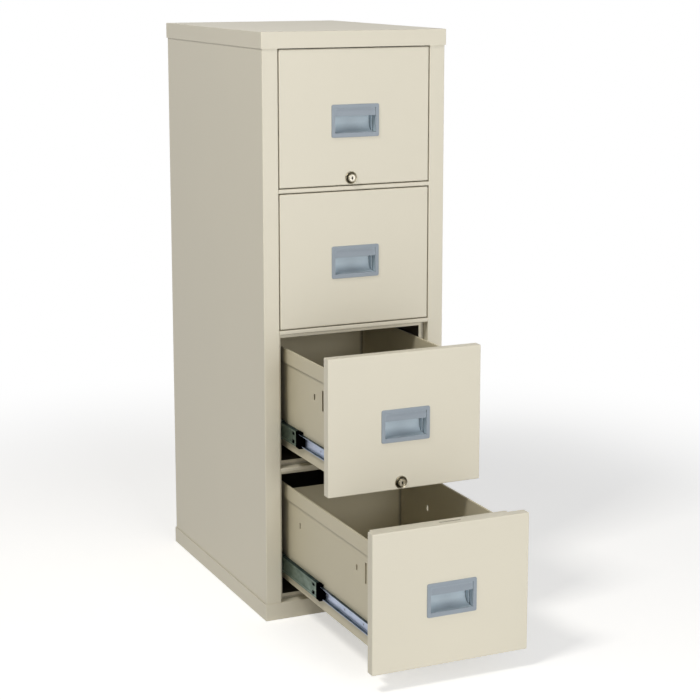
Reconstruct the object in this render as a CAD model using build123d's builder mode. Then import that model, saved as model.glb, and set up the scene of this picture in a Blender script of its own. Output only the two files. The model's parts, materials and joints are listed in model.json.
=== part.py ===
from build123d import *
from math import cos, floor, radians, sin
import os

# Four-drawer fireproof filing cabinet: an insulated steel box with four insulated drawers.
# Millimetres. The origin is the centre of the base's underside, +Z is up and the front faces -Y.
# The two lower drawers stand open at rest.

os.makedirs("parts", exist_ok=True)

# Outer box
cabinet_width = 450.85
cabinet_depth = 635.0
base_band = 39.4
cap_band = 36.35
opening_height = 309.2
rail_height = 9.1
stile_width = 37.3

# Sheet steel of the box
shell_gauge = 1.5
lid_gauge = 1.9
lid_fit = 0.525
shell_bend = 2.0
lid_edge_radius = 1.6
back_gauge = 1.2
liner_gauge = 1.0
rear_flange = 22.0
jamb_depth = 24.0
step_width = 11.5
back_wall = 45.0
board_fit = 0.5

# Drawer heads
drawer_gap = 2.5
head_flange = 22.3
head_depth = 64.0
head_gauge = 1.2
head_edge_radius = 2.4
plug_drop = 11.0

# Drawer trays, whose walls keep their distance from the top of the opening
slide_space = 12.7
tray_gauge = 1.0
tray_room = 15.15
tray_bottom = 39.7
tray_headroom = 35.7
band_height = 32.2
band_proud = 4.5
floor_flange = 14.0
tray_bend = 1.4
tall_slot = (8.0, 46.0)
tall_slot_back = 78.0
tall_slot_drop = 44.5
small_slot = (7.0, 13.0)
small_slot_backs = (123.0, 429.0)
small_slot_drop = 45.1
tray_back_flange = 12.0

# Ball-bearing slides: three members that nest inside the slide space, sold in even inches
slide_step = 50.8
middle_shorter = 44.0
slide_height = 82.7
slide_gauge = 1.2
slide_bend = 1.9
outer_tall = 45.0
middle_tall = 37.5
inner_tall = 25.4
slide_gap = 0.3
outer_setback = 3.0
inner_setback = 2.0
inner_flange = 7.6
outer_lip = 2.2
middle_lip = 1.0
race_band = 8.0
race_relief = 1.2
screw_hole = 4.5
screw_pitch = 96.0
screws_in_row = 5
front_hole_backs = (9.0, 20.0, 31.0)
clip_window = (14.0, 8.0)
clip_window_back = 17.5
clip_window_rise = 9.5

# Black front retainers of the middle members
stop_setback = 41.0
stop_nose = 31.0
stop_root = 32.0
stop_play = 0.4
stop_spine = 0.6
stop_chamfer = 1.0
stop_bar = 8.0
stop_ear_back = 12.0
stop_groove = 3.5

# Moulded pulls
pull_width = 116.0
pull_height = 73.5
pull_drop = 123.7
pull_corner = 4.0
pull_proud = 2.6
pull_rim_radius = 1.1
pull_wall = 2.2
pull_side_border = 8.0
pull_bottom_border = 9.5
pull_depth = 30.0
pull_scoop = 22.0
pull_cavity_radius = 4.4
pull_step = 3.0
pull_step_depth = 16.0
card_top = 8.5
card_recess = 2.2
grip_bottom = 26.0
grip_thickness = 4.0
grip_lift = 12.0

# Key locks, their bolts and the strike slots
lock_side = -10.5
lock_rise = 16.0
lock_ring = 28.5
lock_ring_proud = 3.0
lock_ring_radius = 0.9
lock_dish_proud = 0.9
lock_edge_radius = 0.4
lock_nose = 19.0
lock_proud = 8.0
lock_body = 21.0
lock_body_length = 13.6
plug_diameter = 14.4
plug_fit = 0.05
plug_recess = 0.6
keyhole_width = 3.2
keyhole_height = 6.6
keyhole_depth = 8.0
cam_gauge = 1.4
cam_width = 6.6
cam_reach = 12.7
cam_pin = 4.0
cam_pin_play = 0.8
cam_rest_angle = 45.0
bolt_gauge = 2.5
bolt_width = 44.0
bolt_height = 30.0
bolt_side = 3.0
bolt_lift = 0.4
bolt_room = 6.0
bolt_back = 17.6
slot_width = 50.0
slot_depth = 5.0
strike_pocket = 8.0

# How far the lower drawers stand open at rest
third_drawer_out = 262.0
fourth_drawer_out = 483.4
middle_share = 0.5

# Drawers are numbered from the top, and the first and third have a lock
drawer_numbers = range(1, 5)
locked_drawers = [number for number in drawer_numbers if number % 2]
open_at_rest = dict(zip(drawer_numbers, (0.0, 0.0, third_drawer_out, fourth_drawer_out)))

# Places worked out from the sizes
opening_pitch = opening_height + rail_height
tray_top = opening_height - tray_headroom
tray_crease = tray_top - band_height
tall_slot_height = tray_crease - tall_slot_drop
small_slot_height = tray_crease - small_slot_drop
cabinet_height = base_band + len(drawer_numbers) * opening_pitch - rail_height + cap_band
front = -cabinet_depth / 2
rear = cabinet_depth / 2
lid_inset = lid_gauge + lid_fit
body_front = front + lid_inset
body_rear = rear - lid_inset
body_half = cabinet_width / 2 - lid_inset
opening_half = body_half - stile_width
liner_half = opening_half - step_width
step_face = body_front + jamb_depth
liner_front = step_face + shell_gauge
liner_rear = body_rear - back_wall
body_bottom = lid_gauge
body_top = cabinet_height - lid_gauge
top_opening = cabinet_height - cap_band
head_width = 2 * (opening_half - drawer_gap)
head_height = opening_height - 2 * drawer_gap
tray_half = liner_half - slide_space
plug_half = tray_half - tray_gauge
plug_height = head_height - 2 * plug_drop
tray_length = liner_rear - tray_room - body_front - head_flange
slide_length = slide_step * floor((liner_rear - liner_front - outer_setback) / slide_step)
middle_length = slide_length - middle_shorter


def opening_bottom(number):
    """Height of the bottom of a drawer's opening, drawer 1 being the top one."""
    return base_band + (len(drawer_numbers) - number) * opening_pitch


def bent_sheet(plane, points, gauge, bend, length):
    """A bent sheet: the line is its show side and the steel lies on the line's right."""
    show = [Vector(*point) for point in points]
    runs = [(end - start).normalized() for start, end in zip(show, show[1:])]
    inward = [Vector(run.Y, -run.X) for run in runs]
    hidden = [show[0] + inward[0] * gauge]
    hidden_radii = []
    for corner, before, after in zip(show[1:], inward, inward[1:]):
        hidden.append(corner + (before + after) * (gauge / (1 + before.dot(after))))
        turns_left = before.cross(after).Z > 0
        hidden_radii.append(bend + gauge if turns_left else bend - gauge)
    hidden.append(show[-1] + inward[-1] * gauge)
    with BuildPart() as sheet:
        with BuildSketch(plane):
            with BuildLine():
                FilletPolyline(*show, radius=bend)
                FilletPolyline(*hidden, radius=hidden_radii)
                Line(show[0], hidden[0])
                Line(show[-1], hidden[-1])
            make_face()
        extrude(amount=length)
    return sheet.part


def save(piece, label):
    """Name a finished piece and write it."""
    piece.part.label = label
    export_step(piece.part, f"parts/{label}.step")


def save_in_drawer(piece, name, number, share=1.0):
    """Put a drawer's piece in its opening, as far out as the drawer stands, and write it."""
    out = open_at_rest[number] * share
    with BuildPart() as placed:
        with Locations((0, body_front - out, opening_bottom(number))):
            add(piece.part)
    save(placed, f"{name}_{number}")


# Side panels: side, front stile, jamb return and the step that the heads close against,
# all one bent sheet
side_line = [
    (body_half - rear_flange, body_rear),
    (body_half, body_rear),
    (body_half, body_front),
    (opening_half, body_front),
    (opening_half, step_face),
    (liner_half, step_face),
]
with BuildPart() as right_side_panel:
    add(bent_sheet(Plane.XY.offset(body_bottom), side_line, shell_gauge, shell_bend, body_top - body_bottom))
save(right_side_panel, "right_side_panel")

with BuildPart() as left_side_panel:
    add(mirror(right_side_panel.part, about=Plane.YZ, mode=Mode.PRIVATE))
save(left_side_panel, "left_side_panel")

# The back panel lies inside the rear flanges of the sides
with BuildPart() as back_panel:
    with BuildSketch(Plane.XZ.offset(shell_gauge - body_rear)):
        with Locations((0, (body_bottom + body_top) / 2)):
            Rectangle(2 * (body_half - shell_gauge - board_fit), body_top - body_bottom)
    extrude(amount=back_gauge)
save(back_panel, "back_panel")


def lid(height):
    """A shallow tray of folded sheet, open below, over the whole footprint."""
    with BuildPart() as folded:
        Box(cabinet_width, cabinet_depth, height, align=(Align.CENTER, Align.CENTER, Align.MIN))
        outer_edges = folded.edges().filter_by(Axis.Z) + folded.edges().group_by(Axis.Z)[-1]
        fillet(outer_edges, radius=lid_edge_radius)
        open_side = folded.faces().sort_by(Axis.Z)[0]
        offset(amount=-lid_gauge, openings=open_side)
    return folded.part


# The cap's front band is also the rail above the top drawer
with BuildPart() as top_cap:
    with Locations((0, 0, cabinet_height - cap_band)):
        add(lid(cap_band))
save(top_cap, "top_cap")

# The base is the same form turned over, its band the sill under the bottom drawer
with BuildPart() as base_pan:
    with Locations(Location((0, 0, base_band), (180, 0, 0))):
        add(lid(base_band))
save(base_pan, "base_pan")


def rail(line):
    """A front rail: its box fills the width between the jambs, its flanges stop at the liners."""
    with BuildPart() as folded:
        add(bent_sheet(Plane.YZ.offset(-opening_half), line, shell_gauge, shell_bend, 2 * opening_half))
        with BuildSketch(Plane.XY.offset(body_bottom)):
            notch_start = step_face - shell_bend
            with Locations((-opening_half, notch_start), (liner_half, notch_start)):
                Rectangle(step_width, jamb_depth, align=Align.MIN)
        extrude(amount=body_top - body_bottom, mode=Mode.SUBTRACT)
    return folded


header_rail = rail(
    [
        (step_face, top_opening - step_width),
        (step_face, top_opening),
        (body_front, top_opening),
        (body_front, body_top),
    ]
)
save(header_rail, "header_rail")

sill_rail = rail(
    [
        (body_front, body_bottom),
        (body_front, base_band),
        (step_face, base_band),
        (step_face, base_band + step_width),
    ]
)
save(sill_rail, "sill_rail")


def divider_rail(number):
    """The hat-shaped rail under a drawer, slotted where that drawer's lock bolt comes down."""
    rail_top = opening_bottom(number)
    rail_bottom = rail_top - rail_height
    line = [
        (step_face, rail_bottom - step_width),
        (step_face, rail_bottom),
        (body_front, rail_bottom),
        (body_front, rail_top),
        (step_face, rail_top),
        (step_face, rail_top + step_width),
    ]
    with BuildPart() as folded:
        add(rail(line).part)
        if number in locked_drawers:
            with BuildSketch(Plane.XY.offset(rail_bottom)):
                with Locations((bolt_side, body_front + bolt_back)):
                    Rectangle(slot_width, slot_depth)
            extrude(amount=rail_height, mode=Mode.SUBTRACT)
    return folded.part


with BuildPart() as divider_rails:
    for number in drawer_numbers[:-1]:
        add(divider_rail(number))
save(divider_rails, "divider_rails")

# Insulation boards fill the wall between the shell and the liners
board_front = body_front + shell_gauge + board_fit
board_step = liner_front + board_fit
board_rear = body_rear - shell_gauge - back_gauge - board_fit
board_end = liner_rear + liner_gauge + board_fit
board_half = liner_half + liner_gauge + board_fit
board_bottom = body_bottom + board_fit
board_top = body_top - board_fit

with BuildPart() as insulation_right:
    with BuildSketch(Plane.XY.offset(board_bottom)):
        with BuildLine():
            Polyline(
                (opening_half + shell_gauge + board_fit, board_front),
                (body_half - shell_gauge - board_fit, board_front),
                (body_half - shell_gauge - board_fit, board_rear),
                (board_half, board_rear),
                (board_half, board_step),
                (opening_half + shell_gauge + board_fit, board_step),
                close=True,
            )
        make_face()
    extrude(amount=board_top - board_bottom)
save(insulation_right, "insulation_right")

with BuildPart() as insulation_left:
    add(mirror(insulation_right.part, about=Plane.YZ, mode=Mode.PRIVATE))
save(insulation_left, "insulation_left")

with BuildPart() as insulation_back:
    with BuildSketch(Plane.XY.offset(board_bottom)):
        with Locations((0, (board_end + board_rear) / 2)):
            Rectangle(2 * board_half, board_rear - board_end)
    extrude(amount=board_top - board_bottom)
save(insulation_back, "insulation_back")


def end_board(inner, nose, outer):
    """Top or bottom board, with a nose that reaches forward between the jambs behind the rail."""
    with BuildPart() as board:
        with BuildSketch(Plane.XY.offset(outer)):
            with Locations((0, board_step)):
                Rectangle(2 * board_half, board_end - board_step, align=(Align.CENTER, Align.MIN))
        extrude(amount=inner - outer)
        with BuildSketch(Plane.XY.offset(outer)):
            with Locations((0, board_front)):
                Rectangle(2 * nose_half, board_step - board_front, align=(Align.CENTER, Align.MIN))
        extrude(amount=nose - outer)
    return board


nose_half = liner_half - board_fit
insulation_top = end_board(
    inner=top_opening - step_width + liner_gauge + board_fit,
    nose=top_opening + shell_gauge + board_fit,
    outer=board_top,
)
save(insulation_top, "insulation_top")

insulation_bottom = end_board(
    inner=base_band + step_width - liner_gauge - board_fit,
    nose=base_band - shell_gauge - board_fit,
    outer=board_bottom,
)
save(insulation_bottom, "insulation_bottom")

with BuildPart() as insulation_dividers:
    for number in drawer_numbers[:-1]:
        board_height = rail_height + 2 * (step_width - liner_gauge - board_fit)
        board_middle = opening_bottom(number) - rail_height / 2
        with BuildSketch(Plane.XY.offset(board_middle - board_height / 2)):
            with Locations((0, (board_step + board_end) / 2)):
                Rectangle(2 * board_half, board_end - board_step)
        extrude(amount=board_height)
save(insulation_dividers, "insulation_dividers")

# Each drawer has its own steel compartment, open in front
with BuildPart() as compartment_liners:
    for number in drawer_numbers:
        liner_bottom = opening_bottom(number) + step_width
        liner_height = opening_height - 2 * step_width
        with Locations((0, liner_front, liner_bottom - liner_gauge)):
            Box(
                2 * (liner_half + liner_gauge),
                liner_rear + liner_gauge - liner_front,
                liner_height + 2 * liner_gauge,
                align=(Align.CENTER, Align.MIN, Align.MIN),
            )
        with Locations((0, liner_front, liner_bottom)):
            Box(
                2 * liner_half,
                liner_rear - liner_front,
                liner_height,
                align=(Align.CENTER, Align.MIN, Align.MIN),
                mode=Mode.SUBTRACT,
            )
save(compartment_liners, "compartment_liners")

# Pieces of a drawer are made with the head's front face at y = 0 and z = 0 at the bottom of its
# opening, and are put in their places at the end.

# Slides: the cabinet member opens inwards, the middle member nests in it,
# and the drawer member opens outwards inside that
middle_half = middle_tall / 2
inner_half = inner_tall / 2
outer_half = outer_tall / 2
outer_front = liner_front - body_front + outer_setback
inner_front = head_flange + inner_setback
middle_front = stop_setback + stop_nose
middle_side = liner_half - slide_gauge - slide_gap


def slide_member(line, front_end, length):
    """A slide member for the right side, from its section line seen from the front."""
    rise = [(across, slide_height + up) for across, up in line]
    return bent_sheet(Plane.XZ.offset(-front_end - length), rise, slide_gauge, slide_bend, length)


def lipped_channel(lip_side, web_side, half, lip_end):
    """Section line of a channel that opens towards the drawer, with its lips turned in."""
    return [
        (lip_side, lip_end),
        (lip_side, half),
        (web_side, half),
        (web_side, -half),
        (lip_side, -half),
        (lip_side, -lip_end),
    ]


with BuildPart() as slide_outer:
    section = lipped_channel(tray_half + outer_lip, liner_half, outer_half, middle_half + slide_gap)
    add(slide_member(section, outer_front, slide_length))
    with BuildSketch(Plane.YZ.offset(liner_half - 2 * slide_gauge)):
        with Locations((outer_front + slide_length / 2, slide_height)):
            with GridLocations(screw_pitch, 1, screws_in_row, 1):
                Circle(screw_hole / 2)
    extrude(amount=3 * slide_gauge, mode=Mode.SUBTRACT)
    mirror(about=Plane.YZ)

with BuildPart() as slide_outers:
    for number in drawer_numbers:
        with Locations((0, body_front, opening_bottom(number))):
            add(slide_outer.part)
save(slide_outers, "slide_outers")

# The middle member's web is pressed in between its two ball races, and its front end has two
# windows that the retainer clips into
with BuildPart() as slide_middle:
    web_edge = middle_half - race_band
    section = [
        (tray_half + middle_lip, inner_half + slide_gap),
        (tray_half + middle_lip, middle_half),
        (middle_side, middle_half),
        (middle_side, web_edge + race_relief),
        (middle_side - race_relief, web_edge),
        (middle_side - race_relief, -web_edge),
        (middle_side, -web_edge - race_relief),
        (middle_side, -middle_half),
        (tray_half + middle_lip, -middle_half),
        (tray_half + middle_lip, -inner_half - slide_gap),
    ]
    add(slide_member(section, middle_front, middle_length))
    with BuildSketch(Plane.YZ.offset(middle_side - race_relief - 2 * slide_gauge)):
        with Locations((middle_front + clip_window_back, slide_height)):
            with GridLocations(1, 2 * clip_window_rise, 1, 2):
                RectangleRounded(*clip_window, slide_gauge)
    extrude(amount=4 * slide_gauge, mode=Mode.SUBTRACT)
    mirror(about=Plane.YZ)

with BuildPart() as slide_inner:
    section = [
        (tray_half + inner_flange, -inner_half),
        (tray_half, -inner_half),
        (tray_half, inner_half),
        (tray_half + inner_flange, inner_half),
    ]
    add(slide_member(section, inner_front, slide_length))
    with BuildSketch(Plane.YZ.offset(tray_half - slide_gauge)):
        with Locations((inner_front + slide_length / 2, slide_height)):
            with GridLocations(screw_pitch, 1, screws_in_row, 1):
                Circle(screw_hole / 2)
        for back in front_hole_backs:
            with Locations((inner_front + back, slide_height)):
                Circle(screw_hole / 2)
    extrude(amount=3 * slide_gauge, mode=Mode.SUBTRACT)
    mirror(about=Plane.YZ)


# Front retainer: an arm inside the drawer member, an ear above and below it, joined by a spine.
# Seen from the side it is an E: a bar at the back, with the arm and the two short ears in front.
arm_start = tray_half + slide_gauge + stop_play
arm_half = inner_half - slide_gauge - stop_play
ear_inside = inner_half + stop_play
spine_start = tray_half + inner_flange + stop_play


def stop_length_of(front_end, length, spine_side, ear_side, ear_top):
    """One length of the retainer, with the outline that fits there."""
    with BuildPart() as moulding:
        with BuildSketch(Plane.XZ.offset(-front_end - length)):
            with Locations((spine_start, slide_height)):
                Rectangle(spine_side - spine_start, 2 * ear_top, align=(Align.MIN, Align.CENTER))
            with Locations((arm_start, slide_height)):
                Rectangle(spine_side - arm_start, 2 * arm_half, align=(Align.MIN, Align.CENTER))
            for side in (1, -1):
                with Locations((ear_side, slide_height + side * (ear_inside + ear_top) / 2)):
                    Rectangle(spine_side - ear_side, ear_top - ear_inside, align=(Align.MIN, Align.CENTER))
        extrude(amount=length)
    return moulding.part


with BuildPart() as slide_stop:
    nose = stop_length_of(stop_setback, stop_nose, middle_side, tray_half + middle_lip, middle_half)
    root = stop_length_of(
        middle_front,
        stop_root,
        spine_start + stop_spine,
        tray_half + middle_lip + slide_gauge + stop_play,
        middle_half - slide_gauge - stop_play,
    )
    add(nose)
    with BuildSketch(Plane.YZ.offset(tray_half)):
        for side, rise_from in ((1, Align.MIN), (-1, Align.MAX)):
            with Locations((stop_setback, slide_height + side * arm_half)):
                Rectangle(stop_ear_back, middle_half - arm_half, align=(Align.MIN, rise_from))
                Rectangle(stop_nose - stop_bar, stop_groove, align=(Align.MIN, rise_from))
    extrude(amount=slide_space, mode=Mode.SUBTRACT)
    chamfer(slide_stop.faces().sort_by(Axis.Y)[0].outer_wire().edges(), length=stop_chamfer)
    add(root)
    mirror(about=Plane.YZ)


# Trays: side walls whose tops fold over outwards and hang down as a band that the frames of
# hanging files ride on, on a floor pan, closed by a back
tray_front = head_flange
tray_rear = tray_front + tray_length
floor_level = tray_bottom + tray_gauge
with BuildPart() as drawer_tray:
    wall_line = [
        (plug_half - floor_flange, floor_level),
        (plug_half, floor_level),
        (plug_half, tray_top),
        (tray_half + band_proud, tray_top),
        (tray_half + band_proud, tray_crease),
    ]
    add(bent_sheet(Plane.XZ.offset(-tray_rear), wall_line, tray_gauge, tray_bend, tray_length))
    # The floor flange is notched round the head's plug
    with Locations((plug_half, tray_front, tray_bottom)):
        Box(
            2 * floor_flange,
            head_depth - tray_front,
            floor_flange,
            align=(Align.MAX, Align.MIN, Align.CENTER),
            mode=Mode.SUBTRACT,
        )
    with BuildSketch(Plane.YZ.offset(plug_half - tray_gauge)):
        with Locations((tall_slot_back, tall_slot_height)):
            Rectangle(*tall_slot)
        for back in small_slot_backs:
            with Locations((back, small_slot_height)):
                Rectangle(*small_slot)
    extrude(amount=3 * tray_gauge, mode=Mode.SUBTRACT)
    mirror(about=Plane.YZ)
    floor_half = plug_half - tray_bend
    with BuildSketch(Plane.XY.offset(floor_level)):
        with Locations((0, head_depth)):
            Rectangle(2 * floor_half, tray_rear - tray_gauge - head_depth, align=(Align.CENTER, Align.MIN))
    extrude(amount=tray_gauge)

with BuildPart() as tray_back:
    back_line = [
        (-plug_half, tray_rear - tray_back_flange),
        (-plug_half, tray_rear),
        (plug_half, tray_rear),
        (plug_half, tray_rear - tray_back_flange),
    ]
    back_bottom = floor_level + tray_gauge
    add(
        bent_sheet(
            Plane.XY.offset(back_bottom),
            back_line,
            tray_gauge,
            tray_bend,
            tray_crease - back_bottom,
        )
    )

# Heads: a folded front pan, a rear cover over the plug and the insulating core inside both
head_bottom = drawer_gap
head_top = head_bottom + head_height
head_middle = (head_bottom + head_top) / 2
pull_top = head_top - pull_drop
pull_bottom = pull_top - pull_height
pocket_width = pull_width - 2 * pull_side_border + 2 * pull_wall
pocket_bottom = pull_bottom + pull_bottom_border - pull_wall
pocket_top = pull_top - grip_bottom + grip_lift + pull_wall
lock_height = head_bottom + lock_rise
lock_plane = Plane(origin=(lock_side, 0, lock_height), x_dir=(1, 0, 0), z_dir=(0, -1, 0))


def slot_cut(height, depth):
    """The cutter for a slot that a lock bolt passes, upwards from a height."""
    with BuildPart() as cutter:
        with Locations((bolt_side, bolt_back, height)):
            Box(slot_width, slot_depth, depth, align=(Align.CENTER, Align.CENTER, Align.MIN))
    return cutter.part


def pocket(clearance, depth):
    """The pull's pocket, for the hole in the head and the hollow in its core."""
    with BuildPart() as cutter:
        with Locations((0, -head_gauge, pocket_bottom - clearance)):
            Box(
                pocket_width + 2 * clearance,
                depth + head_gauge + clearance,
                pocket_top - pocket_bottom + 2 * clearance,
                align=(Align.CENTER, Align.MIN, Align.MIN),
            )
    return cutter.part


def make_head_front(has_lock, has_strike):
    """The front pan, its rear flange stopping round the plug."""
    with BuildPart() as pan:
        with Locations((0, 0, head_middle)):
            Box(head_width, head_flange, head_height, align=(Align.CENTER, Align.MIN, Align.CENTER))
        edges = pan.edges().filter_by(Axis.Y) + pan.edges().group_by(Axis.Y)[0]
        fillet(edges, radius=head_edge_radius)
        open_side = pan.faces().sort_by(Axis.Y)[-1]
        offset(amount=-head_gauge, openings=open_side)
        with BuildSketch(Plane.XZ.offset(-head_flange)):
            with Locations((0, head_middle)):
                RectangleRounded(head_width, head_height, head_edge_radius)
                Rectangle(2 * plug_half, plug_height, mode=Mode.SUBTRACT)
        extrude(amount=head_gauge)
        add(pocket(board_fit, head_gauge), mode=Mode.SUBTRACT)
        if has_lock:
            with BuildSketch(lock_plane):
                Circle(lock_body / 2 + plug_fit)
            extrude(amount=-2 * head_gauge, mode=Mode.SUBTRACT)
            add(slot_cut(head_bottom, head_gauge), mode=Mode.SUBTRACT)
        if has_strike:
            add(slot_cut(head_top - head_gauge, head_gauge), mode=Mode.SUBTRACT)
    return pan


with BuildPart() as head_back:
    cover_front = head_flange - head_gauge
    with Locations((0, cover_front, head_middle)):
        Box(
            2 * plug_half,
            head_depth - cover_front,
            plug_height,
            align=(Align.CENTER, Align.MIN, Align.CENTER),
        )
    fillet(head_back.edges().group_by(Axis.Y)[-1], radius=lid_edge_radius)
    offset(amount=-head_gauge, openings=head_back.faces().sort_by(Axis.Y)[0])


def make_head_core(has_lock, has_strike):
    """The insulation in a head, hollowed for the pull, the lock and the strike slot."""
    inset = head_gauge + board_fit
    slab_rear = head_flange - head_gauge - board_fit
    with BuildPart() as core:
        with Locations((0, inset, head_middle)):
            Box(
                head_width - 2 * inset,
                slab_rear - inset,
                head_height - 2 * inset,
                align=(Align.CENTER, Align.MIN, Align.CENTER),
            )
            Box(
                2 * (plug_half - inset),
                head_depth - 2 * inset,
                plug_height - 2 * inset,
                align=(Align.CENTER, Align.MIN, Align.CENTER),
            )
        add(pocket(board_fit, pull_depth), mode=Mode.SUBTRACT)
        if has_lock:
            with Locations((bolt_side, 0, head_bottom)):
                Box(
                    slot_width,
                    slab_rear,
                    bolt_lift + bolt_height + bolt_room,
                    align=(Align.CENTER, Align.MIN, Align.MIN),
                    mode=Mode.SUBTRACT,
                )
        if has_strike:
            add(slot_cut(head_top - strike_pocket, strike_pocket), mode=Mode.SUBTRACT)
    return core


# Moulded pull: a rounded bezel, a card recess, and a finger pocket that runs up behind the grip
cavity_half = pull_width / 2 - pull_side_border
cavity_bottom = pull_bottom + pull_bottom_border
cavity_rear = pull_depth - pull_wall
grip_edge = pull_top - grip_bottom
with BuildPart() as pull:
    with BuildSketch(Plane.XZ):
        with Locations((0, (pull_top + pull_bottom) / 2)):
            RectangleRounded(pull_width, pull_height, pull_corner)
    extrude(amount=pull_proud)
    fillet(pull.faces().sort_by(Axis.Y)[0].edges(), radius=pull_rim_radius)
    add(pocket(0, pull_depth))
    with BuildSketch(Plane.YZ.offset(-cavity_half)):
        with BuildLine():
            FilletPolyline(
                (-2 * pull_proud, cavity_bottom),
                (cavity_rear, cavity_bottom),
                (cavity_rear, grip_edge + grip_lift),
                (grip_thickness, grip_edge + grip_lift),
                (grip_thickness, grip_edge),
                (-2 * pull_proud, grip_edge),
                radius=[pull_scoop, pull_cavity_radius, pull_rim_radius, pull_rim_radius],
            )
            Line((-2 * pull_proud, grip_edge), (-2 * pull_proud, cavity_bottom))
        make_face()
    extrude(amount=2 * cavity_half, mode=Mode.SUBTRACT)
    for side, inward in ((1, Align.MAX), (-1, Align.MIN)):
        with Locations((side * cavity_half, pull_step_depth, cavity_bottom)):
            Box(
                pull_step,
                cavity_rear - pull_step_depth,
                grip_edge + grip_lift - cavity_bottom,
                align=(inward, Align.MIN, Align.MIN),
            )
    with BuildSketch(Plane.XZ.offset(pull_proud - card_recess)):
        with Locations((0, pull_top - card_top)):
            Rectangle(2 * cavity_half, grip_bottom - card_top, align=(Align.CENTER, Align.MAX))
    extrude(amount=2 * card_recess, mode=Mode.SUBTRACT)

# Key lock: a plated cylinder whose dished ring lies on the head, a plug that turns in it, and a
# cam on the plug's tail
with BuildPart() as lock_cylinder:
    bore = plug_diameter / 2 + plug_fit
    with BuildSketch(Plane(origin=(lock_side, 0, lock_height))):
        with BuildLine():
            FilletPolyline(
                (bore, lock_body_length),
                (bore, -lock_proud),
                (lock_nose / 2, -lock_proud),
                (lock_nose / 2, -lock_dish_proud),
                (lock_ring / 2, -lock_ring_proud),
                (lock_ring / 2, 0),
                radius=[lock_edge_radius, lock_ring_radius, lock_edge_radius, lock_ring_radius],
            )
            Polyline(
                (lock_ring / 2, 0),
                (lock_body / 2, 0),
                (lock_body / 2, lock_body_length),
                (bore, lock_body_length),
            )
        make_face()
    revolve(axis=Axis((lock_side, 0, lock_height), (0, 1, 0)))

with BuildPart() as lock_plug:
    with BuildSketch(lock_plane.offset(lock_proud - plug_recess)):
        Circle(plug_diameter / 2)
    extrude(amount=-lock_proud + plug_recess - lock_body_length)
    with BuildSketch(lock_plane.offset(lock_proud - plug_recess)):
        Rectangle(keyhole_width, keyhole_height)
    extrude(amount=-keyhole_depth, mode=Mode.SUBTRACT)

# The cam's pin stands up and to the right when the drawer is unlocked, and a quarter turn brings
# it down to the right, which drives the bolt straight down
pin_across = cam_reach * cos(radians(cam_rest_angle))
pin_up = cam_reach * sin(radians(cam_rest_angle))
bolt_front = bolt_back - bolt_gauge / 2
with BuildPart() as lock_cam:
    with BuildSketch(lock_plane.offset(-lock_body_length)):
        SlotCenterPoint((pin_across / 2, pin_up / 2), (pin_across, pin_up), cam_width)
    extrude(amount=-cam_gauge)
    with BuildSketch(lock_plane.offset(-lock_body_length - cam_gauge)):
        with Locations((pin_across, pin_up)):
            Circle(cam_pin / 2)
    extrude(amount=-(bolt_front + bolt_gauge - lock_body_length - cam_gauge))

with BuildPart() as lock_bolt:
    with BuildSketch(Plane.XZ.offset(-bolt_front)):
        with Locations((bolt_side, head_bottom + bolt_lift + bolt_height / 2)):
            Rectangle(bolt_width, bolt_height)
        with Locations((lock_side + (pin_across + cam_reach) / 2, lock_height + pin_up)):
            SlotOverall(
                cam_reach - pin_across + cam_pin + 2 * cam_pin_play,
                cam_pin + 2 * cam_pin_play,
                mode=Mode.SUBTRACT,
            )
    extrude(amount=-bolt_gauge)

# Every drawer's pieces go to their places
for number in drawer_numbers:
    has_lock = number in locked_drawers
    has_strike = number - 1 in locked_drawers
    save_in_drawer(make_head_front(has_lock, has_strike), "head_front", number)
    save_in_drawer(make_head_core(has_lock, has_strike), "head_core", number)
    save_in_drawer(head_back, "head_back", number)
    save_in_drawer(pull, "pull", number)
    save_in_drawer(drawer_tray, "drawer_tray", number)
    save_in_drawer(tray_back, "tray_back", number)
    save_in_drawer(slide_inner, "slide_inner", number)
    save_in_drawer(slide_middle, "slide_middle", number, middle_share)
    save_in_drawer(slide_stop, "slide_stop", number, middle_share)
    if has_lock:
        save_in_drawer(lock_cylinder, "lock_cylinder", number)
        save_in_drawer(lock_plug, "lock_plug", number)
        save_in_drawer(lock_cam, "lock_cam", number)
        save_in_drawer(lock_bolt, "lock_bolt", number)
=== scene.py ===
# %% [markdown]
# # A fireproof filing cabinet, dressed for the camera
#
# The real object is a tall insulated steel box with four insulated drawers, two of them pulled
# open. Every piece, down to the slides' retainers and the keyholes, is already modelled in CAD, at
# its true size and in its true place. This lesson loads those pieces, gives each one its finish,
# and builds the floor, the lamps and the camera.
#
# All lengths are metres. The front of the cabinet faces -Y and +Z is up.

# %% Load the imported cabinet
import json
import math

import bpy
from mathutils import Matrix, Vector

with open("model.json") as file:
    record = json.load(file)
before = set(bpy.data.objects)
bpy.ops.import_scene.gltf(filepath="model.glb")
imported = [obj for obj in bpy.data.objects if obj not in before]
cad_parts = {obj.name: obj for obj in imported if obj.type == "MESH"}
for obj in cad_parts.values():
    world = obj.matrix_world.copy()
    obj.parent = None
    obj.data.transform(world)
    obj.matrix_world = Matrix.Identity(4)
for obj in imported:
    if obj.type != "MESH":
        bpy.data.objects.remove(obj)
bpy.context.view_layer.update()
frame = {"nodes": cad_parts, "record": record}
nodes = frame["nodes"]

# %% [markdown]
# ## Writing shader maths as plain expressions
#
# A procedural finish is mostly arithmetic on masks: add this, multiply by that, clamp. Wiring a
# Math node for every step by hand is slow to read. A small class can wrap a socket, so that
# `grain * 0.5 + 0.25` adds the Math nodes by itself. Colours aren't numbers, so they go through a
# Mix node instead, which keeps all three channels.

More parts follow.
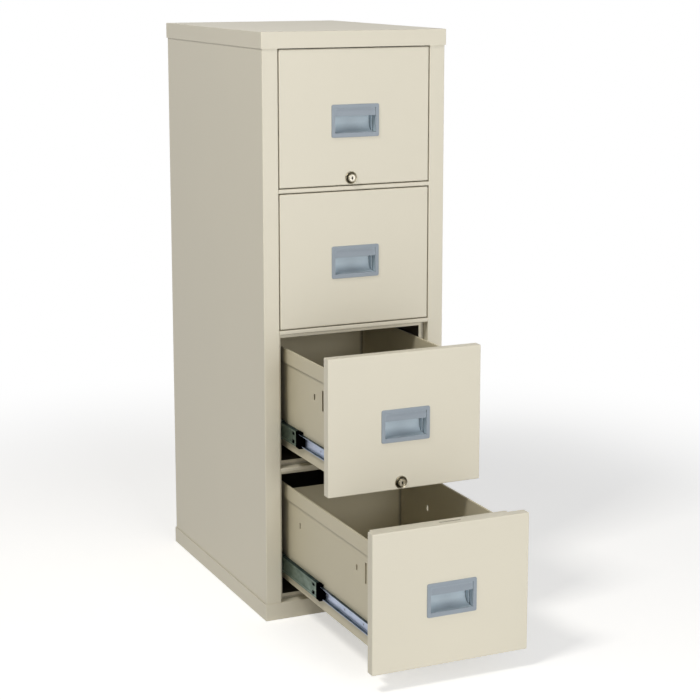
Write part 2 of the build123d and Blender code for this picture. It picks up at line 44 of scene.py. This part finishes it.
# %% A socket that can be added and multiplied
class Signal:
    """A value on its way through a material's nodes."""

    def __init__(self, paint, socket):
        self.paint = paint
        self.socket = socket

    def _math(self, operation, first, second):
        return self.paint.node("ShaderNodeMath", {"operation": operation}, {0: first, 1: second})

    def __add__(self, other):
        return self._math("ADD", self, other)

    def __radd__(self, other):
        return self._math("ADD", other, self)

    def __sub__(self, other):
        return self._math("SUBTRACT", self, other)

    def __rsub__(self, other):
        return self._math("SUBTRACT", other, self)

    def __mul__(self, other):
        return self._math("MULTIPLY", self, other)

    def __rmul__(self, other):
        return self._math("MULTIPLY", other, self)


class Paint:
    """One material under construction."""

    def __init__(self, name):
        self.material = bpy.data.materials.new(name)
        self.material.use_nodes = True
        self.tree = self.material.node_tree
        self.shader = self.tree.nodes["Principled BSDF"]

    def node(self, kind, settings=None, inputs=None, output=0):
        """Add a node: its settings first, then the values or links of its sockets."""
        made = self.tree.nodes.new(kind)
        for key, value in (settings or {}).items():
            setattr(made, key, value)
        for key, value in (inputs or {}).items():
            if isinstance(value, Signal):
                self.tree.links.new(value.socket, made.inputs[key])
            else:
                made.inputs[key].default_value = value
        return Signal(self, made.outputs[output])

    def feed(self, socket, value):
        """Link a signal to the shader, or set a constant straight on its socket."""
        if isinstance(value, Signal):
            self.tree.links.new(value.socket, self.shader.inputs[socket])
        else:
            self.shader.inputs[socket].default_value = value


print("shader helpers ready:", Signal.__name__, Paint.__name__)

# %% [markdown]
# ## Where a pattern sits on a piece
#
# Each pattern reads Object coordinates. Every piece of the cabinet keeps its origin at the floor's
# centre, so one metre of pattern is one metre of steel on all of them, and a pattern stays on its
# piece when a drawer opens.

# %% Small steps that every finish uses
def place(paint, stretch=(1, 1, 1)):
    """Object coordinates, stretched where a pattern runs along one direction."""
    where = paint.node("ShaderNodeTexCoord", output="Object")
    return paint.node("ShaderNodeMapping", None, {"Vector": where, "Scale": stretch})


def grain(paint, where, scale, detail=2.0, roughness=0.5):
    """Soft cloudy noise between 0 and 1; scale counts its clouds in a metre."""
    return paint.node(
        "ShaderNodeTexNoise",
        {"noise_dimensions": "3D"},
        {"Vector": where, "Scale": scale, "Detail": detail, "Roughness": roughness},
    )


def within(paint, value, low, high):
    """Spread the part of a signal between low and high over 0 to 1, and clamp the rest."""
    return paint.node(
        "ShaderNodeMapRange",
        {"interpolation_type": "SMOOTHSTEP"},
        {"Value": value, "From Min": low, "From Max": high},
    )


def mixed(paint, share, first, second):
    """Blend two colours."""
    factor, colour_a, colour_b, colour_out = 0, 6, 7, 2
    return paint.node(
        "ShaderNodeMix",
        {"data_type": "RGBA"},
        {factor: share, colour_a: first, colour_b: second},
        output=colour_out,
    )


def colour(red, green, blue):
    """A screen colour from 0 to 255 as the linear colour that shaders work in."""
    def linear(part):
        part /= 255
        return part / 12.92 if part <= 0.04045 else ((part + 0.055) / 1.055) ** 2.4
    return (linear(red), linear(green), linear(blue), 1.0)


def darker(tone, share):
    """The same colour with only a share of its light."""
    return tuple(share * part for part in tone[:3]) + (1.0,)


def bumped(paint, height, strength, distance):
    """Tilt the surface by a height signal, for relief too fine to model."""
    relief = paint.node(
        "ShaderNodeBump", None, {"Height": height, "Strength": strength, "Distance": distance}
    )
    paint.feed("Normal", relief)


print("paint white in linear light:", [round(v, 3) for v in colour(224, 217, 199)])

# %% [markdown]
# ## The putty-coloured paint of the cabinet
#
# The box, the heads and the trays are sheet steel with a baked enamel: a warm, pale grey-beige
# with a soft sheen. On the trays it is painted a little yellower and darker, a painted shade of
# the open drawers, and the liners, which hardly show, are painted a dark primer colour, a painted
# shade that keeps the openings dark. Each could be a flat colour, but real enamel shrinks as it
# bakes into a faint orange peel, its tone drifts a little over a large panel, and it thins on
# sharp folds. So the colour gets a very slow drift, the relief gets a fine noise, and a Bevel node
# finds the folds: where the rounded normal parts from the true one there is an edge. Under a
# folded edge or deep in a seam the paint is darkened, a painted shade that an Ambient Occlusion
# node which only sees the piece itself finds.

# %% Enamel on sheet steel
def fold_mask(paint, radius):
    """1 on sharp folds and cut edges, 0 on flat sheet."""
    rounded = paint.node("ShaderNodeBevel", {"samples": 6}, {"Radius": radius})
    true = paint.node("ShaderNodeNewGeometry", output="Normal")
    agreement = paint.node(
        "ShaderNodeVectorMath", {"operation": "DOT_PRODUCT"}, {0: rounded, 1: true}, output="Value"
    )
    return within(paint, 1 - agreement, low=0.02, high=0.28)


def crevice_mask(paint, reach, low=0.18, high=0.45):
    """1 under folded edges and in the seams of the piece itself, 0 on open sheet."""
    openness = paint.node(
        "ShaderNodeAmbientOcclusion",
        {"samples": 6, "only_local": True},
        {"Distance": reach},
        output="AO",
    )
    return within(paint, 1 - openness, low, high)


def enamel(name, tone, thin, sheen):
    """Baked enamel: tone is the paint, thin its colour where it has drawn back from a fold."""
    wear_on_folds = 0.45
    painted_shade_in_seams = 0.75
    paint = Paint(name)
    where = place(paint)
    drift = grain(paint, where, scale=2.3, detail=3.0)
    cloud = within(paint, drift, low=0.3, high=0.7)
    base = mixed(paint, cloud, darker(tone, 0.975), tone)
    patches = within(paint, grain(paint, where, scale=60.0, detail=4.0), low=0.35, high=0.7)
    worn = fold_mask(paint, radius=0.0011) * patches
    painted = mixed(paint, worn * wear_on_folds, base, thin)
    # Painted shade: under folded edges and in seams the paint is darkened towards a dark tone.
    seam_shade = crevice_mask(paint, reach=0.009, low=0.1, high=0.4)
    paint.feed(
        "Base Color", mixed(paint, seam_shade * painted_shade_in_seams, painted, darker(tone, 0.22))
    )
    paint.feed("Roughness", sheen + (drift - 0.5) * 0.08 + worn * 0.08)
    paint.feed("IOR", 1.46)
    peel = grain(paint, where, scale=520.0, detail=1.0)
    bumped(paint, peel, strength=0.12, distance=0.0004)
    return paint.material


putty = colour(225, 219, 201)
case_enamel = enamel("case_enamel", tone=putty, thin=colour(238, 233, 218), sheen=0.46)
head_enamel = enamel("head_enamel", tone=putty, thin=colour(240, 235, 221), sheen=0.44)
# The trays' tone is darker than the case's: a painted shade of the open drawers.
shaded_tray_enamel = enamel(
    "shaded_tray_enamel", tone=colour(211, 203, 178), thin=colour(226, 219, 199), sheen=0.48
)
# The liners' dark primer is a painted shade that keeps the inside of the openings dark.
liner_primer = enamel("liner_primer", tone=colour(66, 61, 54), thin=colour(84, 79, 70), sheen=0.6)
print("enamels:", case_enamel.name, head_enamel.name, shaded_tray_enamel.name, liner_primer.name)

# %% [markdown]
# ## Zinc on the slides
#
# The drawer member of each slide is bright zinc with a cool, slightly lavender passivation. The
# middle and cabinet members are dull galvanised steel, grey with a green cast and a faint crystal
# pattern. All are rolled, so the fine lines in them run along the slide: noise that is drawn out
# along Y makes such lines. The edges that the balls run on are painted a dark teal, a painted shade
# and dark reflection on these flanges; they are the faces that look up or down, so the normal's
# height tells them from the upright webs. The cams and bolts of the locks get a plainer plating
# from the same recipe, with the same painted shade, paler, on their faces that look up or down.

# %% Bright zinc and galvanised steel
def level_mask(paint):
    """1 on faces that look up or down, 0 on upright ones."""
    normal = paint.node("ShaderNodeNewGeometry", output="Normal")
    rise = paint.node("ShaderNodeSeparateXYZ", None, {"Vector": normal}, output="Z")
    steepness = paint.node("ShaderNodeMath", {"operation": "ABSOLUTE"}, {0: rise})
    return within(paint, steepness, low=0.3, high=0.8)


def rolled_zinc(name, tone, dull, level_shade_tone, metal_roughness, spangle):
    """Zinc on cold-rolled strip: rolling lines along the slide, painted shade on the races."""
    crystals_in_a_metre = 160.0
    paint = Paint(name)
    where = place(paint)
    along = place(paint, stretch=(1.0, 0.02, 1.0))
    lines = grain(paint, along, scale=900.0, detail=2.0)
    crystals = paint.node(
        "ShaderNodeTexVoronoi",
        {"feature": "F1"},
        {"Vector": where, "Scale": crystals_in_a_metre},
        output="Color",
    )
    patch = paint.node("ShaderNodeSeparateColor", None, {"Color": crystals})
    film = within(paint, grain(paint, where, scale=35.0, detail=4.0), low=0.35, high=0.75)
    share = film * 0.5 + patch * spangle
    edges = fold_mask(paint, radius=0.0005)
    # Painted shade and dark reflection: faces that look up or down are darkened.
    level_shade = level_mask(paint) * (0.8 + film * 0.2)
    bare = mixed(paint, share + edges * -0.3, tone, dull)
    paint.feed("Base Color", mixed(paint, level_shade, bare, level_shade_tone))
    paint.feed("Metallic", 1.0)
    rolled = metal_roughness + lines * 0.12 + film * 0.08
    paint.feed("Roughness", rolled - edges * 0.1 + level_shade * 0.15)
    bumped(paint, lines, strength=0.15, distance=0.0002)
    return paint.material


# The dark teal of the races is a painted shade and dark reflection.
race_shade_tone = colour(36, 56, 58)
bright_zinc = rolled_zinc(
    "bright_zinc",
    tone=colour(182, 190, 212),
    dull=colour(152, 172, 190),
    level_shade_tone=race_shade_tone,
    metal_roughness=0.3,
    spangle=0.15,
)
galvanised = rolled_zinc(
    "galvanised_steel",
    tone=colour(126, 142, 132),
    dull=colour(80, 95, 84),
    level_shade_tone=race_shade_tone,
    metal_roughness=0.36,
    spangle=0.4,
)
plain_zinc = rolled_zinc(
    "plated_small_parts",
    tone=colour(196, 196, 190),
    dull=colour(160, 160, 152),
    level_shade_tone=colour(150, 150, 142),
    metal_roughness=0.28,
    spangle=0.1,
)
print("metals:", bright_zinc.name, galvanised.name, plain_zinc.name)

# %% [markdown]
# ## Moulded plastic
#
# The pulls are a grey-blue plastic with a fine spark-eroded texture from the mould, a little
# shinier on the rim where hands touch it, with painted shade in its corners. The scoop behind the
# grip is painted lighter, a painted light that lifts its shade, and a wider reach of the same mask
# finds the scoop. The retainers at the front of the slides are black acetal, smooth and quite matt.

# %% Blue-grey pulls and black retainers
def moulded(name, tone, worn_tone, scoop_light_tone, gloss, base_roughness, texture_scale, relief):
    """Injection-moulded plastic with the mould's texture; painted light in its scoop, painted shade
    in corners.
    """
    painted_shade_in_corners = 0.9
    paint = Paint(name)
    where = place(paint)
    texture = grain(paint, where, scale=texture_scale, detail=3.0, roughness=0.6)
    handled = fold_mask(paint, radius=0.0012)
    flow = within(paint, grain(paint, where, scale=18.0, detail=2.0), low=0.3, high=0.7)
    base = mixed(paint, flow * 0.35, tone, darker(tone, 0.93))
    # Painted light: the scoop behind the grip is made lighter.
    scoop = crevice_mask(paint, reach=0.045)
    scoop_lit = mixed(paint, scoop, mixed(paint, handled * 0.5, base, worn_tone), scoop_light_tone)
    # Painted shade: the pull's corners are darkened.
    corners = crevice_mask(paint, reach=0.0026, low=0.24, high=0.5)
    paint.feed("Base Color", mixed(paint, corners * painted_shade_in_corners, scoop_lit, darker(tone, 0.2)))
    paint.feed("Roughness", base_roughness + texture * 0.12 - handled * 0.12)
    paint.feed("Specular IOR Level", gloss)
    bumped(paint, texture, strength=relief, distance=0.0003)
    return paint.material


pull_plastic = moulded(
    "pull_plastic",
    tone=colour(146, 156, 166),
    worn_tone=colour(168, 178, 188),
    scoop_light_tone=colour(184, 198, 206),
    gloss=0.5,
    base_roughness=0.42,
    texture_scale=900.0,
    relief=0.25,
)
black_acetal = moulded(
    "black_acetal",
    tone=colour(2, 2, 3),
    worn_tone=colour(8, 8, 10),
    scoop_light_tone=colour(1, 1, 2),
    gloss=0.0,
    base_roughness=0.4,
    texture_scale=700.0,
    relief=0.12,
)
print("plastics:", pull_plastic.name, black_acetal.name)

# %% [markdown]
# ## The lock's plating and its brass plug
#
# A key lock is a die-cast cylinder plated with nickel, which is warmer than chrome, round a plug
# of plated brass. The face of the plug has a few scratches where the key has missed its slot, and
# the keyhole and the grooves are painted near black, a painted shade that the mask for crevices
# puts there.

# %% Nickel and brass
# A near-black painted shade for the lock's hollows.
hollow_shade_tone = colour(14, 12, 8)


def plated(name, tone, tarnish, polish, scratch):
    """Polished plating with a light tarnish in patches."""
    paint = Paint(name)
    where = place(paint)
    patch = within(paint, grain(paint, where, scale=240.0, detail=4.0), low=0.4, high=0.75)
    upright = place(paint, stretch=(1.0, 1.0, 0.05))
    marks = within(paint, grain(paint, upright, scale=1500.0), low=0.55, high=0.62)
    # Painted shade: the keyhole and the grooves turn near black.
    hollow = crevice_mask(paint, reach=0.004, low=0.3, high=0.55)
    plating = mixed(paint, patch * 0.5, tone, tarnish)
    paint.feed("Base Color", mixed(paint, hollow, plating, hollow_shade_tone))
    paint.feed("Metallic", 1.0)
    paint.feed("Roughness", polish + patch * 0.12 + marks * scratch + hollow * 0.4)
    bumped(paint, marks, strength=0.08, distance=0.0001)
    return paint.material


# The nickel's tone is darker than bare nickel: a painted dark reflection, since the white sky gives
# it none.
nickel = plated(
    "nickel_plating",
    tone=colour(158, 151, 132),
    tarnish=colour(92, 85, 66),
    polish=0.12,
    scratch=0.1,
)
brass = plated(
    "brass_plug",
    tone=colour(212, 206, 192),
    tarnish=colour(170, 161, 138),
    polish=0.2,
    scratch=0.2,
)
print("plating:", nickel.name, brass.name)

# %% [markdown]
# ## The insulation
#
# Inside the walls and heads lie thick boards of light gypsum, which give off water in a fire. None
# of it shows on a closed cabinet, but an exported piece still deserves its own look: chalky,
# off-white and full of small air pores.

# %% Cast gypsum
def gypsum():
    """Chalky board with small air pores and a faint stain."""
    pores_in_a_metre = 260.0
    paint = Paint("cast_gypsum")
    where = place(paint)
    pores = paint.node(
        "ShaderNodeTexVoronoi", {"feature": "F1"}, {"Vector": where, "Scale": pores_in_a_metre}
    )
    hollow = within(paint, pores, low=0.05, high=0.28)
    stain = within(paint, grain(paint, where, scale=6.0, detail=4.0), low=0.3, high=0.75)
    base = mixed(paint, stain * 0.5, colour(226, 221, 210), colour(208, 200, 186))
    paint.feed("Base Color", mixed(paint, 1 - hollow, base, colour(170, 163, 150)))
    paint.feed("Roughness", 0.88 - stain * 0.06)
    bumped(paint, hollow, strength=0.5, distance=0.0008)
    return paint.material


gypsum_board = gypsum()
print("insulation:", gypsum_board.name)

# %% [markdown]
# ## Giving each piece its finish
#
# The record of the cabinet names a material slot for every piece, so the finishes go on by slot.
# A piece that is added to the cabinet later is then dressed by itself.

# %% Dress the CAD pieces
finishes = {
    "case_paint": case_enamel,
    "drawer_paint": head_enamel,
    "tray_paint": shaded_tray_enamel,
    "liner_primer": liner_primer,
    "insulation": gypsum_board,
    "slide_bright": bright_zinc,
    "slide_zinc": galvanised,
    "retainer_plastic": black_acetal,
    "pull_plastic": pull_plastic,
    "lock_plating": nickel,
    "lock_brass": brass,
    "bolt_steel": plain_zinc,
}
slot_of = {part["node"]: part["material_slot"] for part in frame["record"]["subparts"]}
for name, piece in nodes.items():
    piece.data.materials.clear()
    piece.data.materials.append(finishes[slot_of[name]])
print("dressed:", len(nodes), "pieces in", len(finishes), "finishes")

# %% [markdown]
# ## The floor
#
# The cabinet stands on a plain white floor that runs out of sight, with only its soft shadow on
# it. A white surface under ordinary light never renders quite white, so the floor adds a little
# glow that only the camera and reflections see, and further out it fades into pure white, the
# same as the sky. The glow adds nothing to the soft light on the cabinet.

# %% A floor that fades into white
def seen_directly(paint):
    """1 for rays that end in the camera, straight or by way of metal and glass."""
    path = "ShaderNodeLightPath"
    camera = paint.node(path, output="Is Camera Ray")
    glossy = paint.node(path, output="Is Glossy Ray")
    through = paint.node(path, output="Is Transmission Ray")
    return paint.node(
        "ShaderNodeMath", {"operation": "ADD", "use_clamp": True}, {0: camera + glossy, 1: through}
    )


floor_size = 60.0
floor_glow = 0.46
fade_from = 0.9
fade_to = 2.2
bpy.ops.object.select_all(action="DESELECT")
bpy.ops.mesh.primitive_plane_add(size=floor_size, location=(0, 0, 0))
floor = bpy.context.active_object
floor.name = "studio_floor"
floor_paint = Paint("studio_floor")
floor_paint.feed("Base Color", colour(240, 240, 240))
floor_paint.feed("Roughness", 0.9)
floor_paint.feed("Specular IOR Level", 0.0)
where = place(floor_paint)
away = floor_paint.node("ShaderNodeVectorMath", {"operation": "LENGTH"}, {0: where}, output="Value")
seen = seen_directly(floor_paint)
glow = floor_paint.node("ShaderNodeEmission", None, {"Strength": seen * floor_glow})
matt = Signal(floor_paint, floor_paint.shader.outputs[0])
lit = floor_paint.node("ShaderNodeAddShader", None, {0: matt, 1: glow})
white = floor_paint.node("ShaderNodeEmission", None, {"Strength": 1.0})
far = within(floor_paint, away, fade_from, fade_to) * seen
surface = floor_paint.node("ShaderNodeMixShader", None, {0: far, 1: lit, 2: white})
output = floor_paint.tree.nodes["Material Output"]
floor_paint.tree.links.new(surface.socket, output.inputs["Surface"])
floor.data.materials.append(floor_paint.material)
print("floor:", floor.name, [round(v, 1) for v in floor.dimensions])

# %% [markdown]
# ## Light
#
# The front is a shade brighter than the left side, and every fold throws its small shadow
# downwards: a broad soft lamp stands straight in front, a smaller one hangs high on the left, and
# the sky fills in. The levels are set so that paint that faces the front renders about as bright
# as its own colour.

# %% Sky and two soft lamps
sky_level = 0.25
world = bpy.data.worlds.new("studio_sky")
bpy.context.scene.world = world
world.use_nodes = True
sky_tree = world.node_tree
background = sky_tree.nodes["Background"]
background.inputs["Color"].default_value = (1.0, 1.0, 1.0, 1.0)


class Sky(Paint):
    """The world's nodes, built in the same way as a material's."""

    def __init__(self, tree):
        self.tree = tree


sky = Sky(sky_tree)
strength = sky_level + seen_directly(sky) * (1 - sky_level)
sky_tree.links.new(strength.socket, background.inputs["Strength"])


def soft_lamp(name, location, target, size, power, tint=(1.0, 1.0, 1.0)):
    """A square area lamp aimed at a point."""
    bpy.ops.object.light_add(type="AREA", location=location)
    lamp = bpy.context.active_object
    lamp.name = name
    lamp.data.size = size
    lamp.data.energy = power
    lamp.data.color = tint
    lamp.rotation_euler = (Vector(target) - Vector(location)).to_track_quat("-Z", "Y").to_euler()
    return lamp


middle = (0.0, -0.2, 0.7)
soft_lamp("front_lamp", location=(0.4, -5.4, 1.3), target=middle, size=2.2, power=113.0)
soft_lamp(
    "high_lamp",
    location=(-2.7, -1.6, 4.4),
    target=middle,
    size=1.0,
    power=90.0,
    tint=(1.0, 0.97, 0.91),
)

# %% [markdown]
# ## The camera
#
# The picture was taken from the left and from a little above. Position, direction, focal length
# and a small vertical shift of the lens come from fitting the corners of the cabinet and its
# drawer heads to where they stand in the picture.

# %% Camera
frame_pixels = 700
focal_pixels = 1782.75
sensor_width = 36.0
downward_tilt = 0.1809
turn_to_the_right = 0.4277
lens_shift = -0.09
bpy.ops.object.camera_add(
    location=(-1.66126, -3.93120, 1.49064),
    rotation=(math.pi / 2 - downward_tilt, 0.0, -turn_to_the_right),
)
camera = bpy.context.active_object
camera.name = "product_camera"
camera.data.sensor_width = sensor_width
camera.data.lens = sensor_width * focal_pixels / frame_pixels
camera.data.shift_y = lens_shift
bpy.context.scene.camera = camera
bpy.context.scene.view_settings.view_transform = "Standard"
print("camera:", round(camera.data.lens, 1), "mm")

# %% [markdown]
# ## The end
#
# The cabinet is dressed, lit and framed.

# %% Finish
print("scene ready")
